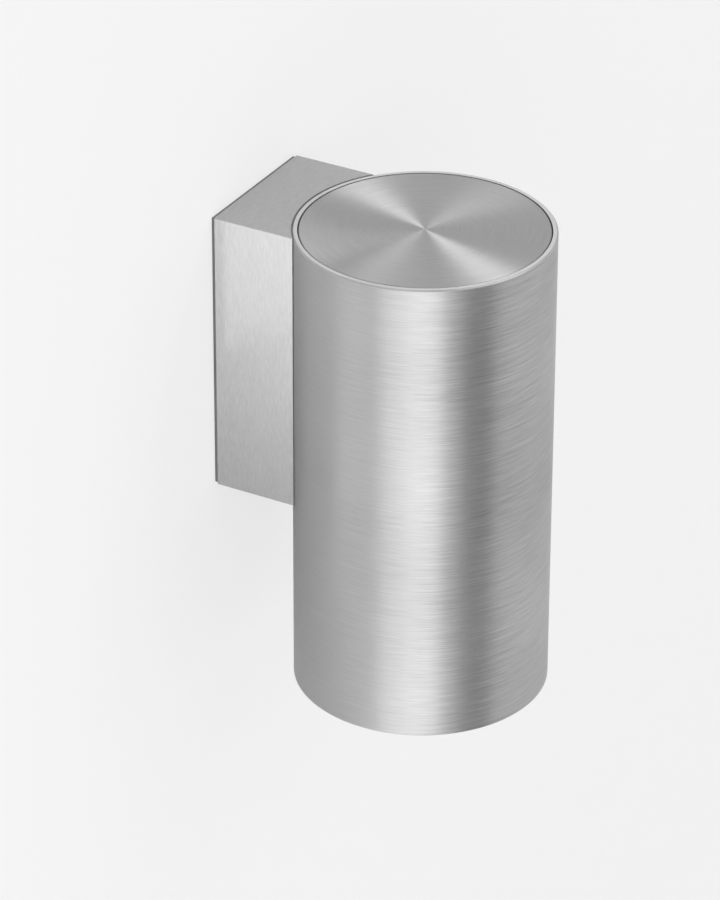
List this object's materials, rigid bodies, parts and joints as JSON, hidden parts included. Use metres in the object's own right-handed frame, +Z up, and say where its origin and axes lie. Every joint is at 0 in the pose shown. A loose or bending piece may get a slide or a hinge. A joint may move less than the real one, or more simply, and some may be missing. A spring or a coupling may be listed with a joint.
{
  "type": "cylindrical wall downlight",
  "caption": "Brushed metal tube downlight, closed by a flush turned lid, on a rectangular wall box coped to the tube.",
  "frame": {"origin": "middle between the two wall slots of the bracket, on the wall", "axes": "+Y into the wall, so the light stands out along -Y, +Z up along the tube, +X to the right seen from the room"},
  "size_m": [0.09, 0.1125, 0.174],
  "materials": {
    "brushed_aluminium": "hairline brushed, satin",
    "turned_aluminium": "face turned, fine concentric lines",
    "plain_aluminium": "plain, satin",
    "reflector_aluminium": "bright, semi-specular",
    "zinc_plated_steel": "zinc plated",
    "stainless_steel": "machined",
    "brass": "machined",
    "black_rubber": "matt",
    "grey_rubber": "matt",
    "grey_foam": "fine closed foam, matt",
    "white_plastic": "moulded",
    "board_white": "solder mask",
    "emitter_yellow": "phosphor",
    "brown_insulation": "extruded",
    "blue_insulation": "extruded",
    "green_insulation": "extruded, yellow stripe",
    "red_insulation": "extruded",
    "black_insulation": "extruded",
    "clear_glass": "clear, toughened"
  },
  "bodies": {
    "wall_plate": {"wall_bracket": "zinc_plated_steel", "cable_grommet": "black_rubber", "bracket_earth_screw": "brass"},
    "lamp": {"wall_box": "brushed_aluminium", "wall_gasket": "grey_foam", "grub_screws": "stainless_steel", "saddle_gasket": "grey_rubber", "fixing_screws": "stainless_steel", "wire_bush": "black_rubber", "terminal_block": "white_plastic", "terminal_clamps": "brass", "terminal_screws": "stainless_steel", "live_core": "brown_insulation", "neutral_core": "blue_insulation", "earth_core": "green_insulation", "earth_tag": "zinc_plated_steel", "earth_screw": "brass", "tube": "brushed_aluminium", "lid": "turned_aluminium", "lid_gasket": "black_rubber", "lid_seat": "plain_aluminium", "lid_screws": "stainless_steel", "chassis": "zinc_plated_steel", "driver": "white_plastic", "driver_screws": "stainless_steel", "heat_sink": "plain_aluminium", "heat_sink_screws": "stainless_steel", "led_board": "board_white", "led_emitter": "emitter_yellow", "led_holder": "white_plastic", "holder_screws": "stainless_steel", "positive_lead": "red_insulation", "negative_lead": "black_insulation", "reflector": "reflector_aluminium", "glass_seat": "plain_aluminium"},
    "glass_pack": {"glass_gasket": "black_rubber", "glass": "clear_glass"},
    "ring": {"retaining_ring": "plain_aluminium"}
  },
  "joints": [
    {"name": "lamp_release", "type": "slide", "parent": "wall_plate", "child": "lamp", "axis": [0, -1, 0], "range_m": [0, 0.03]},
    {"name": "glass_drop", "type": "slide", "parent": "lamp", "child": "glass_pack", "axis": [0, 0, -1], "range_m": [0, 0.0045]},
    {"name": "ring_turn", "type": "hinge", "parent": "glass_pack", "child": "ring", "pos_m": [0, -0.0675, -0.1075], "axis": [0, 0, -1], "range_deg": [0, 1081]}
  ],
  "couplings": [
    {"joint": "ring_turn", "follows": "glass_drop", "rad_per_m": 4188.8}
  ]
}
